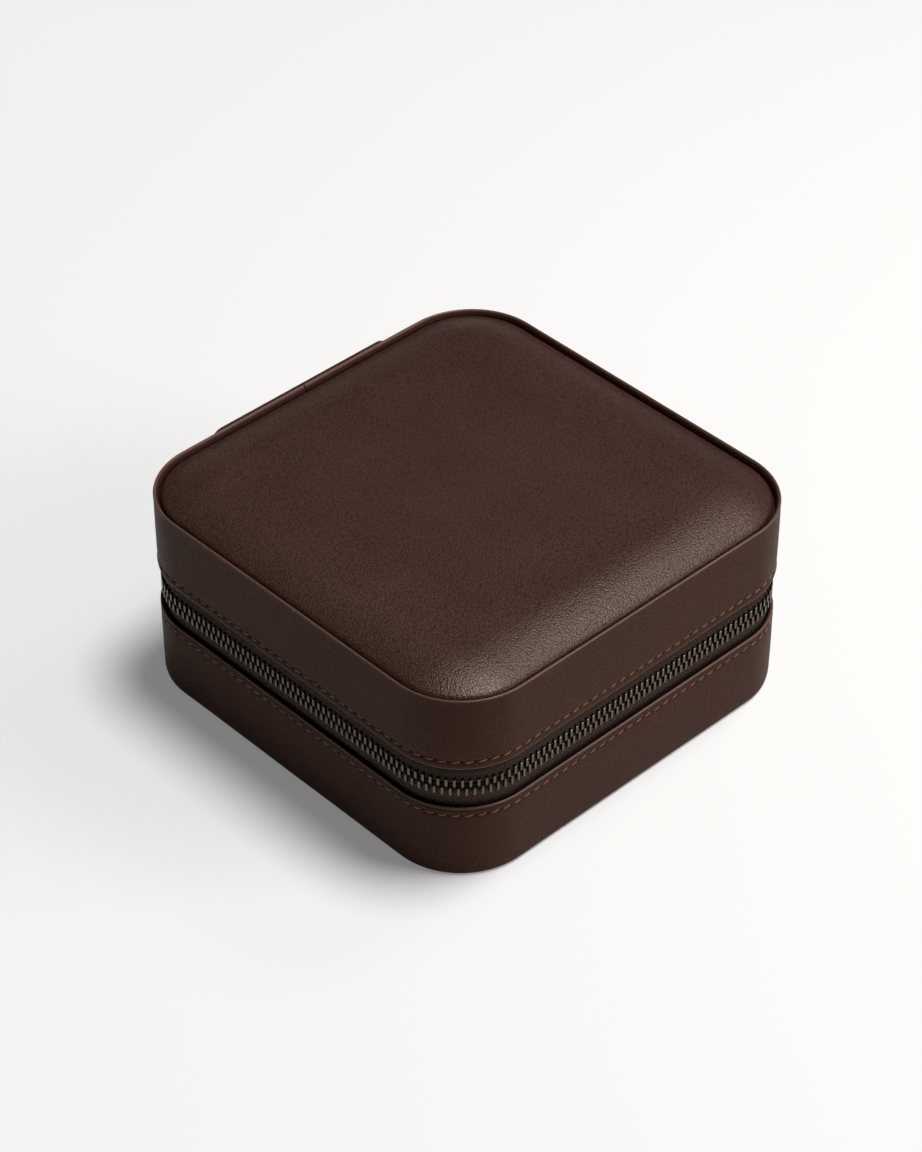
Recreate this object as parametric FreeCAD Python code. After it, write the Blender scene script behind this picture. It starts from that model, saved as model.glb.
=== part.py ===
# A square jewellery case in leather that zips round three sides and hinges on a strap at the back.
# Millimetres. +Z is up, the front faces -Y, the hinge is at +Y.
# The origin is the middle of the underside that the case stands on.

import FreeCAD, Part
import math
import os

Vector = FreeCAD.Vector

# Case, over the leather
case_width = 115.0
case_depth = 115.0
corner_radius = 19.3
base_wall_height = 20.0
zip_gap = 11.6
lid_wall_height = 20.5

# Layers of the walls, from the outside in
leather = 1.2
glue_line = 0.05
board = 2.0
lining = 0.8
edge_round = 0.45
seam_gap = 0.3
board_setback = 4.5
lining_setback = 0.4

# Underside
bottom_leather = 0.8
bottom_margin = 2.5
bottom_round = 1.5
turn_in_width = 8.0
turn_in_thickness = 1.0

# Padded top of the lid
groove_width = 0.9
groove_depth = 2.9
top_leather = 1.0
top_side_height = 1.5
crown_height = 2.2
crown_run = 12.0
crown_steps = 6
least_radius = 1.0

# Hinge strap on the back
strap_width = 58.0
strap_thickness = 1.3
strap_corner = 4.0
strap_drop = 0.4
strap_floor_gap = 4.5

# Zip tapes and teeth
tape = 0.6
tape_clearance = 0.3
tape_end_gap = 0.3
tooth_pitch = 1.75
tooth_width = 0.76
tooth_thickness = 2.2
tooth_tip_thickness = 1.4
tooth_leg = 2.45
tooth_head = 0.85
tooth_shoulder = 0.2
mesh_clearance = 0.1
crimp_clearance = 0.04
stop_length = 1.8
stop_gap = 0.4
stop_reach = 2.6
stop_start = 0.3

# Zip slider, at the rear end of the right-hand side
slider_length = 9.5
slider_nose_width = 7.8
slider_tail_width = 6.8
slider_nose_point = 4.4
slider_wing = 1.1
slider_clearance = 0.15
wedge_clearance = 0.15
wedge_length = 3.0
wedge_nose_gap = 0.6
flange_clearance = 0.25
bridge_length = 6.6
bridge_width = 2.0
bridge_strap = 0.9
bridge_opening = 1.75
bridge_round = 0.8

# Zip pull
pull_length = 20.0
pull_bar_radius = 0.5
pull_arm_width = 1.1
pull_eye_clearance = 0.5
pull_eye_length = 4.4
pull_waist_width = 4.2
pull_waist_distance = 7.5
pull_end_width = 6.0
pull_end_round = 2.2

# Compartments of the base
fit_gap = 0.15
divider_x = -4.0
divider_thickness = 2.4
divider_height = 14.0
cross_divider_y = 10.0
cross_divider_gap = 0.3
guide_depth = 2.5
guide_thickness = 1.6
guide_height = 12.0
guide_clearance = 0.25

# Ring rolls in their tray
tray_height = 12.0
tray_wall = 1.2
tray_side = 3.6
roll_count = 6
roll_gap = 0.4
roll_height = 15.0
roll_side_height = 8.0
roll_draw_in = 0.4
roll_end_length = 2.5
roll_end_draw_in = 0.8

# Pocket inside the lid
pocket_width = 88.0
pocket_length = 46.0
pocket_margin = 5.0
pocket_mouth_depth = 7.5
pocket_fold_depth = 2.0
pocket_cloth = 0.8
elastic_width = 4.0
elastic_thickness = 1.0

# Necklace strip, tabs and snaps inside the lid
strip_width = 84.0
strip_length = 6.0
strip_margin = 6.0
strip_leather = 1.2
tab_count = 3
tab_width = 9.0
tab_length = 24.0
tab_leather = 1.2
tab_root_gap = 0.3
tab_clearance = 0.15
snap_end_distance = 5.0
snap_cap_radius = 4.0
snap_cap_height = 1.4
snap_cap_round = 0.9
snap_stud_radius = 3.0
snap_stud_height = 0.9

# Heights that follow
base_wall_z = bottom_leather + glue_line
base_edge_z = base_wall_z + base_wall_height
lid_edge_z = base_edge_z + zip_gap
rim_z = lid_edge_z + lid_wall_height
zip_z = (base_edge_z + lid_edge_z) / 2
floor_board_z = base_wall_z + turn_in_thickness + glue_line
base_frame_z = floor_board_z + board + glue_line
base_board_top = base_edge_z - board_setback
floor_lining_z = base_frame_z
compartment_z = floor_lining_z + lining + glue_line
lid_board_bottom = lid_edge_z + board_setback
top_seat_z = rim_z - groove_depth
lid_board_z = top_seat_z - glue_line - board
lid_frame_top = lid_board_z - glue_line
ceiling_z = lid_frame_top - lining
lid_fixing_z = ceiling_z - glue_line
crown_z = rim_z + crown_height

# Depths below the outer leather face that follow
layer_inset = leather + glue_line
lining_inset = layer_inset + board + glue_line
inside_inset = lining_inset + lining
hem_inset = layer_inset + tape + glue_line
tape_middle = layer_inset + tape / 2
top_inset = leather + groove_width

# Plan sizes that follow
flat_half_x = case_width / 2 - corner_radius
flat_half_y = case_depth / 2 - corner_radius
inside_half_x = case_width / 2 - inside_inset
inside_half_y = case_depth / 2 - inside_inset
back_y = case_depth / 2
zip_end_x = strap_width / 2 + tape_end_gap

# Zip places that follow
tape_edge = tooth_head + mesh_clearance
zip_plane_x = case_width / 2 - tape_middle
slider_y = flat_half_y - stop_gap * 2 - stop_length - slider_length / 2
wing_inner = tooth_thickness / 2 + slider_clearance
wing_outer = wing_inner + slider_wing
channel_half = tooth_leg + flange_clearance
wedge_start_y = slider_y + slider_length / 2 - wedge_nose_gap - wedge_length
chain_end_y = wedge_start_y - tooth_width
pull_axis_x = zip_plane_x + wing_outer + bridge_opening / 2


def box(x0, x1, y0, y1, z0, z1):
    """A block between two corners."""
    return Part.makeBox(x1 - x0, y1 - y0, z1 - z0, Vector(x0, y0, z0))


def rounded_wire(half_x, half_y, radius, z):
    """A closed rounded rectangle about the Z axis, at height z."""
    flat_x = half_x - radius
    flat_y = half_y - radius
    diagonal = radius * math.sqrt(0.5)
    edges = []
    corners = ((1, 1), (-1, 1), (-1, -1), (1, -1))
    for sx, sy in corners:
        centre = Vector(sx * flat_x, sy * flat_y, z)
        beside = centre + Vector(sx * radius, 0, 0)
        above = centre + Vector(0, sy * radius, 0)
        middle = centre + Vector(sx * diagonal, sy * diagonal, 0)
        first, last = (beside, above) if sx == sy else (above, beside)
        edges.append((first, middle, last))
    wire = []
    for index, (first, middle, last) in enumerate(edges):
        following = edges[(index + 1) % len(edges)][0]
        wire.append(Part.Arc(first, middle, last).toShape())
        wire.append(Part.LineSegment(last, following).toShape())
    return Part.Wire(wire)


def outline(inset, z):
    """The case's plan, drawn in by inset, at height z."""
    radius = max(corner_radius - inset, least_radius)
    return rounded_wire(case_width / 2 - inset, case_depth / 2 - inset, radius, z)


def slab(inset, z0, z1):
    """The case's plan, drawn in by inset, from height z0 to z1."""
    return Part.Face(outline(inset, z0)).extrude(Vector(0, 0, z1 - z0))


def polygon(points):
    """A flat face with straight sides."""
    return Part.Face(Part.makePolygon(list(points) + [points[0]]))


def round_edges_at(shape, z, radius):
    """Round every edge that lies flat at height z."""
    flat = [e for e in shape.Edges if abs(e.BoundBox.ZMin - z) + abs(e.BoundBox.ZMax - z) < 1e-6]
    return shape.makeFillet(radius, flat)


def back_seam(z0, z1):
    """The slit where the two ends of a wall's leather meet, at the middle of the back."""
    return box(-seam_gap / 2, seam_gap / 2, flat_half_y, case_depth, z0, z1)


# Base

def base_wall_leather():
    """The wall of the base, rounded at the foot and turned in under the floor board."""
    wall = slab(0, base_wall_z, base_edge_z)
    wall = round_edges_at(wall, base_wall_z, bottom_round)
    wall = round_edges_at(wall, base_edge_z, edge_round)
    wall = wall.cut(slab(leather, base_wall_z + turn_in_thickness, base_edge_z))
    wall = wall.cut(slab(turn_in_width, base_wall_z, base_edge_z))
    return wall.cut(back_seam(base_wall_z + turn_in_thickness, base_edge_z))


def base_bottom_panel():
    return slab(bottom_margin, 0, bottom_leather)


def base_floor_board():
    return slab(layer_inset, floor_board_z, floor_board_z + board)


def base_frame():
    outside = slab(layer_inset, base_frame_z, base_board_top)
    return outside.cut(slab(layer_inset + board, base_frame_z, base_board_top))


def base_lining():
    """The cloth tub in the base, thicker above the board where it backs the zip tape."""
    top = base_edge_z - lining_setback
    tub = slab(lining_inset, floor_lining_z, top)
    hem = slab(hem_inset, base_board_top + glue_line, top)
    return tub.fuse(hem).cut(slab(inside_inset, floor_lining_z + lining, top)).removeSplitter()


def divider_fixed():
    half_y = inside_half_y - fit_gap
    half = divider_thickness / 2
    return box(
        divider_x - half, divider_x + half, -half_y, half_y, compartment_z, compartment_z + divider_height
    )


def divider_lift_out():
    x0 = divider_x + divider_thickness / 2 + cross_divider_gap
    x1 = inside_half_x - cross_divider_gap
    y0 = cross_divider_y - divider_thickness / 2
    y1 = cross_divider_y + divider_thickness / 2
    return box(x0, x1, y0, y1, compartment_z + cross_divider_gap, compartment_z + divider_height)


def divider_guides():
    """Four ribs, a pair at each end of the lift-out divider."""
    left = divider_x + divider_thickness / 2 + glue_line
    right = inside_half_x - glue_line - guide_depth
    near = divider_thickness / 2 + guide_clearance
    ribs = []
    for x in (left, right):
        for y in (cross_divider_y - near - guide_thickness, cross_divider_y + near):
            ribs.append(box(x, x + guide_depth, y, y + guide_thickness,
                            compartment_z, compartment_z + guide_height))
    return Part.Compound(ribs)


# Ring rolls: the window of the tray is a rectangle that stays inside the rounded corners
tray_inset = inside_inset + fit_gap
tray_border = (corner_radius - tray_inset) * (1 - math.sqrt(0.5)) + tray_wall
window_x0 = -(case_width / 2 - tray_inset - tray_border)
tray_x1 = divider_x - divider_thickness / 2 - fit_gap
window_x1 = tray_x1 - tray_side
window_half_y = case_depth / 2 - tray_inset - tray_border
roll_pitch = 2 * window_half_y / roll_count


def ring_tray():
    top = compartment_z + tray_height
    surround = slab(tray_inset, compartment_z, top)
    surround = surround.common(box(-case_width, tray_x1, -case_depth, case_depth, compartment_z, top))
    return surround.cut(box(window_x0, window_x1, -window_half_y, window_half_y, compartment_z, top))


def roll_section(x, y, draw_in):
    """One cross-section of a ring roll: a flat foot, sides drawn in below and a round crown."""
    half = (roll_pitch - roll_gap) / 2 - draw_in
    foot = half - roll_draw_in
    side = compartment_z + roll_side_height
    top = compartment_z + roll_height - draw_in
    foot_left = Vector(x, y - foot, compartment_z)
    foot_right = Vector(x, y + foot, compartment_z)
    side_left = Vector(x, y - half, side)
    side_right = Vector(x, y + half, side)
    crown = Part.Arc(side_right, Vector(x, y, top), side_left).toShape()
    sides = [(foot_left, foot_right), (foot_right, side_right)]
    edges = [Part.LineSegment(a, b).toShape() for a, b in sides]
    return Part.Wire(edges + [crown, Part.LineSegment(side_left, foot_left).toShape()])


def ring_roll(index):
    """A soft bar across the window, drawn in a little at both ends."""
    y = -window_half_y + (index + 0.5) * roll_pitch
    x0 = window_x0 + roll_gap
    x1 = window_x1 - roll_gap
    places = (
        (x0, roll_end_draw_in),
        (x0 + roll_end_length, 0),
        (x1 - roll_end_length, 0),
        (x1, roll_end_draw_in),
    )
    return Part.makeLoft([roll_section(x, y, draw_in) for x, draw_in in places], True, True)


# Lid

def lid_wall_leather():
    """The wall of the lid; its bare top edge is the rim round the padded top."""
    wall = slab(0, lid_edge_z, rim_z)
    wall = round_edges_at(wall, lid_edge_z, edge_round)
    wall = round_edges_at(wall, rim_z, edge_round)
    wall = wall.cut(slab(leather, lid_edge_z, rim_z))
    return wall.cut(back_seam(lid_edge_z, rim_z))


def lid_frame():
    outside = slab(layer_inset, lid_board_bottom, lid_frame_top)
    return outside.cut(slab(layer_inset + board, lid_board_bottom, lid_frame_top))


def lid_board():
    return slab(layer_inset, lid_board_z, lid_board_z + board)


def crowned_pad(inset, seat, side_height, top):
    """A pad with upright sides and an edge that rolls over a quarter ellipse to a flat middle."""
    sections = [outline(inset, seat)]
    rise = top - seat - side_height
    for step in range(crown_steps + 1):
        angle = math.radians(90 * step / crown_steps)
        drawn_in = inset + crown_run * (1 - math.cos(angle))
        sections.append(outline(drawn_in, seat + side_height + rise * math.sin(angle)))
    return Part.makeLoft(sections, True, True)


def lid_foam():
    inset = top_inset + top_leather + glue_line
    return crowned_pad(inset, top_seat_z, top_side_height, crown_z - top_leather - glue_line)


def lid_top_leather():
    """The padded top: leather drawn over the foam and down into the groove."""
    cover = crowned_pad(top_inset, top_seat_z, top_side_height, crown_z)
    hollow = crowned_pad(top_inset + top_leather, top_seat_z, top_side_height, crown_z - top_leather)
    return cover.cut(hollow)


def lid_lining():
    """The cloth tub in the lid, thicker below the board where it backs the zip tape."""
    bottom = lid_edge_z + lining_setback
    tub = slab(lining_inset, bottom, lid_frame_top)
    hem = slab(hem_inset, bottom, lid_board_bottom - glue_line)
    return tub.fuse(hem).cut(slab(inside_inset, bottom, ceiling_z)).removeSplitter()


pocket_fold_y = inside_half_y - pocket_margin
pocket_mouth_y = pocket_fold_y - pocket_length


def pocket_wedge(half_width, fold_y, mouth_y, fold_depth, mouth_depth):
    """A wedge under the lid's ceiling, deeper at the mouth."""
    points = [
        Vector(-half_width, fold_y, lid_fixing_z),
        Vector(-half_width, fold_y, lid_fixing_z - fold_depth),
        Vector(-half_width, mouth_y, lid_fixing_z - mouth_depth),
        Vector(-half_width, mouth_y, lid_fixing_z),
    ]
    return polygon(points).extrude(Vector(2 * half_width, 0, 0))


def lid_pocket():
    """A cloth pocket, open at its mouth towards the front and closed by the lid's ceiling."""
    bag = pocket_wedge(
        pocket_width / 2, pocket_fold_y, pocket_mouth_y, pocket_fold_depth, pocket_mouth_depth
    )
    space = pocket_wedge(
        pocket_width / 2 - pocket_cloth,
        pocket_fold_y - pocket_cloth,
        pocket_mouth_y,
        pocket_fold_depth - pocket_cloth,
        pocket_mouth_depth - pocket_cloth,
    )
    return bag.cut(space)


def pocket_elastic():
    """The band along the pocket's mouth."""
    z = lid_fixing_z - pocket_mouth_depth
    y1 = pocket_mouth_y - glue_line
    half = pocket_width / 2
    return box(-half, half, y1 - elastic_width, y1, z, z + elastic_thickness)


strip_y = -(inside_half_y - strip_margin)
tab_root_y = strip_y + strip_length + tab_root_gap
tab_top_z = lid_fixing_z - snap_stud_height - tab_clearance
tab_z = tab_top_z - tab_leather
snap_y = tab_root_y + tab_length - snap_end_distance
tab_spacing = strip_width / tab_count
tab_places = [(index - (tab_count - 1) / 2) * tab_spacing for index in range(tab_count)]


def necklace_strip():
    half = strip_width / 2
    return box(-half, half, strip_y, strip_y + strip_length, lid_fixing_z - strip_leather, lid_fixing_z)


def necklace_tab(x):
    half = tab_width / 2
    return box(x - half, x + half, tab_root_y, tab_root_y + tab_length, tab_z, tab_top_z)


def snap_cap(x):
    bottom = tab_z - glue_line - snap_cap_height
    cap = Part.makeCylinder(snap_cap_radius, snap_cap_height, Vector(x, snap_y, bottom))
    return round_edges_at(cap, bottom, snap_cap_round)


def snap_studs():
    z = lid_fixing_z - snap_stud_height
    studs = [Part.makeCylinder(snap_stud_radius, snap_stud_height, Vector(x, snap_y, z)) for x in tab_places]
    return Part.Compound(studs)


# Hinge

def hinge_strap():
    """A leather strap over the back of the lid and the base."""
    z0 = strap_floor_gap
    z1 = rim_z - strap_drop
    strap = Part.Face(rounded_wire(strap_width / 2, (z1 - z0) / 2, strap_corner, 0))
    strap = strap.extrude(Vector(0, 0, strap_thickness))
    strap.rotate(Vector(0, 0, 0), Vector(1, 0, 0), 90)
    strap.translate(Vector(0, back_y + glue_line + strap_thickness, (z0 + z1) / 2))
    return strap


def hinge_lining():
    """The cloth that closes the gap behind the strap, in line with the zip tapes."""
    half = strap_width / 2
    reach = board_setback - tape_clearance
    y1 = back_y - layer_inset
    return box(-half, half, y1 - tape, y1, base_edge_z - reach, lid_edge_z + reach)


# Zip

def tape_ring(z0, z1, end_x):
    """A tape round the case, open at the back between the ends of the strap."""
    ring = slab(layer_inset, z0, z1).cut(slab(layer_inset + tape, z0, z1))
    left_end_x, right_end_x = end_x
    return ring.cut(box(left_end_x, right_end_x, flat_half_y, case_depth, z0, z1))


bottom_stop_x = -zip_end_x - tape_end_gap
chain_start_x = bottom_stop_x - stop_length - tape_end_gap


def zip_tape_base():
    foot = base_edge_z - board_setback + tape_clearance
    return tape_ring(foot, zip_z - tape_edge, (-zip_end_x, zip_end_x))


def zip_tape_lid():
    """The lid's tape, which ends clear of the bottom stop."""
    head = lid_edge_z + board_setback - tape_clearance
    return tape_ring(zip_z + tape_edge, head, (chain_start_x, zip_end_x))


def zip_stretches():
    """The zip's line in plan, from the bottom stop round the left, front and right sides.

    Each stretch is its length and a function from distance to place and outward angle."""
    half_x = case_width / 2 - tape_middle
    half_y = case_depth / 2 - tape_middle
    radius = corner_radius - tape_middle

    def straight(x, y, step_x, step_y, outward, length):
        return length, lambda s: (x + step_x * s, y + step_y * s, outward)

    def corner(x, y, start):
        def at(s):
            angle = start + math.degrees(s / radius)
            turn = math.radians(angle)
            return x + radius * math.cos(turn), y + radius * math.sin(turn), angle
        return radius * math.pi / 2, at

    return [
        straight(chain_start_x, half_y, -1, 0, 90, flat_half_x + chain_start_x),
        corner(-flat_half_x, flat_half_y, 90),
        straight(-half_x, flat_half_y, 0, -1, 180, 2 * flat_half_y),
        corner(-flat_half_x, -flat_half_y, 180),
        straight(-flat_half_x, -half_y, 1, 0, 270, 2 * flat_half_x),
        corner(flat_half_x, -flat_half_y, 270),
        straight(half_x, -flat_half_y, 0, 1, 0, flat_half_y + chain_end_y),
    ]


def zip_place(distance):
    """Place and outward angle at a distance along the zip's line."""
    for length, at in zip_stretches():
        if distance <= length:
            return at(distance)
        distance -= length


zip_length = sum(length for length, at in zip_stretches())
teeth_per_row = int((zip_length - tooth_width) / tooth_pitch - 0.5)


def crimped_piece(length, profile, side):
    """A piece that grips a tape's edge: a profile of depth and height, run along the tape.

    Depth is outward and height is away from the zip's middle, up in the lid and down in the base."""
    points = [Vector(depth, -length / 2, side * height) for depth, height in profile]
    return polygon(points).extrude(Vector(0, length, 0))


def grip_profile(head, legs):
    """The outline of a gripping piece: a head, and two legs either side of the tape."""
    half = tooth_thickness / 2
    slot = tape / 2 + crimp_clearance
    slot_end = tape_edge - crimp_clearance
    jaw = [(half, legs), (slot, legs), (slot, slot_end), (-slot, slot_end), (-slot, legs), (-half, legs)]
    return head + jaw


def tooth(side):
    half = tooth_thickness / 2
    tip = tooth_tip_thickness / 2
    head = [(-half, tooth_shoulder), (-tip, -tooth_head), (tip, -tooth_head), (half, tooth_shoulder)]
    return crimped_piece(tooth_width, grip_profile(head, tooth_leg), side)


def stood_at(piece, x, y, angle):
    """A copy of a gripping piece, turned outward and stood on the zip's line."""
    copy = piece.copy()
    copy.Placement = FreeCAD.Placement(
        Vector(x, y, zip_z), FreeCAD.Rotation(Vector(0, 0, 1), angle)
    )
    return copy


def zip_teeth(side):
    """One row of teeth; the lid's row stands half a pitch on from the base's."""
    pattern = tooth(side)
    first = tooth_width / 2 + (tooth_pitch / 2 if side > 0 else 0)
    places = [zip_place(first + tooth_pitch * index) for index in range(teeth_per_row)]
    return Part.Compound([stood_at(pattern, *place) for place in places])


def zip_top_stop(side):
    """The crimp beyond the slider's nose that keeps the slider on the tape."""
    half = tooth_thickness / 2
    head = [(-half, stop_start), (half, stop_start)]
    y = slider_y + slider_length / 2 + stop_gap + stop_length / 2
    return stood_at(crimped_piece(stop_length, grip_profile(head, stop_reach), side), zip_plane_x, y, 0)


def zip_bottom_stop():
    """The block at the closed end, gripping the base's tape and reaching up past the middle."""
    half = tooth_thickness / 2
    head = [(-half, -stop_reach), (half, -stop_reach)]
    block = crimped_piece(stop_length, grip_profile(head, stop_reach), -1)
    return stood_at(block, bottom_stop_x - stop_length / 2, back_y - tape_middle, 90)


def slider_plate(depth0, depth1):
    """The slider's outline, wide at its nose, between two depths from the zip's plane."""
    nose = slider_y + slider_length / 2
    tail = slider_y - slider_length / 2
    shoulder = nose - (slider_nose_width - slider_nose_point) / 2
    half_plan = [
        (tail, slider_tail_width / 2),
        (slider_y, slider_nose_width / 2),
        (shoulder, slider_nose_width / 2),
        (nose, slider_nose_point / 2),
    ]
    plan = half_plan + [(y, -z) for y, z in reversed(half_plan)]
    x = zip_plane_x + depth0
    return polygon([Vector(x, y, zip_z + z) for y, z in plan]).extrude(Vector(depth1 - depth0, 0, 0))


def zip_slider():
    """Two wings joined by a wedge, with flanges round the teeth and a bridge for the pull."""
    tail = slider_y - slider_length / 2
    nose = slider_y + slider_length / 2
    inner_x = zip_plane_x - wing_inner
    outer_x = zip_plane_x + wing_inner
    slot = tape / 2 + flange_clearance
    wings = [slider_plate(wing_inner, wing_outer), slider_plate(-wing_outer, -wing_inner)]
    flanges = slider_plate(-wing_inner, wing_inner)
    flanges = flanges.cut(box(inner_x, outer_x, tail, nose, zip_z - channel_half, zip_z + channel_half))
    flanges = flanges.cut(box(
        zip_plane_x - slot, zip_plane_x + slot, tail, nose,
        zip_z - slider_nose_width, zip_z + slider_nose_width,
    ))
    wedge_half = tape_edge - wedge_clearance
    wedge = box(inner_x, outer_x, wedge_start_y, wedge_start_y + wedge_length,
                zip_z - wedge_half, zip_z + wedge_half)
    slider = wings[0].fuse([wings[1], flanges, wedge, slider_bridge()])
    return slider.removeSplitter()


def slider_bridge():
    """The arch over the outer wing that the pull hangs on."""
    x0 = zip_plane_x + wing_outer
    z0 = zip_z - bridge_width / 2
    z1 = zip_z + bridge_width / 2
    y0 = slider_y - bridge_length / 2
    y1 = slider_y + bridge_length / 2
    x1 = x0 + bridge_opening + bridge_strap
    arch = box(x0, x1, y0, y1, z0, z1)
    corners = [e for e in arch.Edges if e.BoundBox.ZLength > bridge_width / 2 and e.BoundBox.XMin > x0 + 1e-6]
    arch = arch.makeFillet(bridge_round, corners)
    return arch.cut(box(x0, x0 + bridge_opening, y0 + bridge_strap, y1 - bridge_strap, z0, z1))


def zip_pull():
    """A flat metal tab that turns on a round bar under the slider's bridge."""
    eye_half = bridge_width / 2 + pull_eye_clearance
    arm_half = eye_half + pull_arm_width
    x0 = pull_axis_x - pull_bar_radius
    eye_end = slider_y - pull_bar_radius - pull_eye_length
    half_plan = [
        (slider_y, arm_half),
        (eye_end, arm_half),
        (slider_y - pull_waist_distance, pull_waist_width / 2),
        (slider_y - pull_length, pull_end_width / 2),
    ]
    plan = half_plan + [(y, -z) for y, z in reversed(half_plan)]
    tab = polygon([Vector(x0, y, zip_z + z) for y, z in plan]).extrude(Vector(2 * pull_bar_radius, 0, 0))
    end_y = slider_y - pull_length
    ends = [e for e in tab.Edges if e.BoundBox.YMax < end_y + 1e-6 and e.BoundBox.XLength > pull_bar_radius]
    tab = tab.makeFillet(pull_end_round, ends)
    eye = box(x0, x0 + 2 * pull_bar_radius, eye_end, slider_y, zip_z - eye_half, zip_z + eye_half)
    bar = Part.makeCylinder(
        pull_bar_radius, 2 * arm_half, Vector(pull_axis_x, slider_y, zip_z - arm_half), Vector(0, 0, 1)
    )
    return tab.cut(eye).fuse(bar).removeSplitter()


parts = {
    "base_wall_leather": base_wall_leather(),
    "base_bottom_panel": base_bottom_panel(),
    "base_floor_board": base_floor_board(),
    "base_frame": base_frame(),
    "base_lining": base_lining(),
    "divider_fixed": divider_fixed(),
    "divider_lift_out": divider_lift_out(),
    "divider_guides": divider_guides(),
    "ring_tray": ring_tray(),
    "lid_wall_leather": lid_wall_leather(),
    "lid_frame": lid_frame(),
    "lid_board": lid_board(),
    "lid_foam": lid_foam(),
    "lid_top_leather": lid_top_leather(),
    "lid_lining": lid_lining(),
    "lid_pocket": lid_pocket(),
    "pocket_elastic": pocket_elastic(),
    "necklace_strip": necklace_strip(),
    "snap_studs": snap_studs(),
    "hinge_strap": hinge_strap(),
    "hinge_lining": hinge_lining(),
    "zip_tape_base": zip_tape_base(),
    "zip_tape_lid": zip_tape_lid(),
    "zip_teeth_base": zip_teeth(-1),
    "zip_teeth_lid": zip_teeth(1),
    "zip_top_stop_base": zip_top_stop(-1),
    "zip_top_stop_lid": zip_top_stop(1),
    "zip_bottom_stop": zip_bottom_stop(),
    "zip_slider": zip_slider(),
    "zip_pull": zip_pull(),
}
for number in range(roll_count):
    parts[f"ring_roll_{number + 1}"] = ring_roll(number)
for number, place in enumerate(tab_places):
    parts[f"necklace_tab_{number + 1}"] = necklace_tab(place)
    parts[f"snap_cap_{number + 1}"] = snap_cap(place)

os.makedirs("parts", exist_ok=True)
for name, shape in parts.items():
    shape.exportStep(f"parts/{name}.step")
    print(name, len(shape.Solids), "solids", round(shape.Volume, 2), "mm3, valid", shape.isValid())
print("teeth per row", teeth_per_row)
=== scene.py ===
# A square leather jewellery case that zips round three sides and hinges on a strap at the back.
# Metres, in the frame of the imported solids: +Z is up, the front faces -Y, the hinge is at +Y.

import math

import bmesh
import bpy
from mathutils import Matrix, Vector, noise


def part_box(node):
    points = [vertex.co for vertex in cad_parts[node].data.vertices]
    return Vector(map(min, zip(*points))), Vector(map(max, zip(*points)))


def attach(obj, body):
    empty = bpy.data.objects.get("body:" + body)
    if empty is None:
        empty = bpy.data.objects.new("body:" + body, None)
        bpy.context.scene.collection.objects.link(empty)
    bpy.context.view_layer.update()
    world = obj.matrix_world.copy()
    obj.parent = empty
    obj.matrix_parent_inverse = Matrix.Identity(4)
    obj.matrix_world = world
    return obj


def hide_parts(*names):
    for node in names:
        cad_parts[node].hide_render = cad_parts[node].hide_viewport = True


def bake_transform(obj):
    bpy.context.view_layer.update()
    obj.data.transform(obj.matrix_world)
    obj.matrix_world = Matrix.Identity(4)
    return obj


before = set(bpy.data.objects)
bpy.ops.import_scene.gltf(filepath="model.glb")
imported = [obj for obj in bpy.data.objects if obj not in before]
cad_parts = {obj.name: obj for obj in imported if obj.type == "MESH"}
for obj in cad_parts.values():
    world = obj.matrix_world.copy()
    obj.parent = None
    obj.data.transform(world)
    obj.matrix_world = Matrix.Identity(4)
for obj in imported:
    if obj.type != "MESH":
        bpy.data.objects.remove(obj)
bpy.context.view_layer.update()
mm = 0.001

# Case
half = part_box("lid_wall_leather")[1].x
corner = 19.3 * mm
flat = half - corner
base_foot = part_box("base_wall_leather")[0].z
base_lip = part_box("base_wall_leather")[1].z
lid_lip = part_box("lid_wall_leather")[0].z
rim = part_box("lid_wall_leather")[1].z
zip_height = (base_lip + lid_lip) / 2
wall_seam = 0.15 * mm
wall_ripple = 0.07 * mm
groove_bulge = 0.5 * mm
groove_floor = 1.25 * mm
pad_side = 0.9 * mm
pad_slope_run = 14 * mm
pad_roll = 1.0 * mm
pad_dome = 0.3 * mm
top_skin = 0.5 * mm

# Sewing
stitch_pitch = 3.0 * mm
stitch_length = 2.1 * mm
stitch_width = 0.52 * mm
stitch_slant = math.radians(10)
lid_stitch_height = lid_lip + 2.4 * mm
base_stitch_height = base_lip - 2.3 * mm
sewing_start = 30.5 * mm
thread_sink = 0.05 * mm
seam_side = 0.4 * mm
seam_depth = 0.15 * mm

# Zip
tape_inset = 1.55 * mm
chain_start = 31.7 * mm
chain_end = 29.3 * mm
tooth_pitch = 1.75 * mm
tooth_count = 177
tooth_width = 0.74 * mm

# Inside of the lid
pocket_depth = 7.2 * mm
pocket_taper = 5.4 * mm
pocket_seat = 0.3 * mm
pocket_corner = 9 * mm
gather_pitch = 4.4 * mm
tab_edge = 0.35 * mm
tab_corner = 4.2 * mm
tab_seam = 1.6 * mm

# Ring rolls, as cloth at ten times its size
swelling_scale = 10
swelling_cell = 9 * mm
swelling_pressure = 4
swelling_frames = 20
swelling_ease = 5

# Hinge
strap_corner = 4.0 * mm
strap_seam = 2.2 * mm

# Fineness of the shapes
wall_step = 4 * mm
corner_steps = 16
pad_cells = 80
same_place = 1e-6


# Finishes

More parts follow.
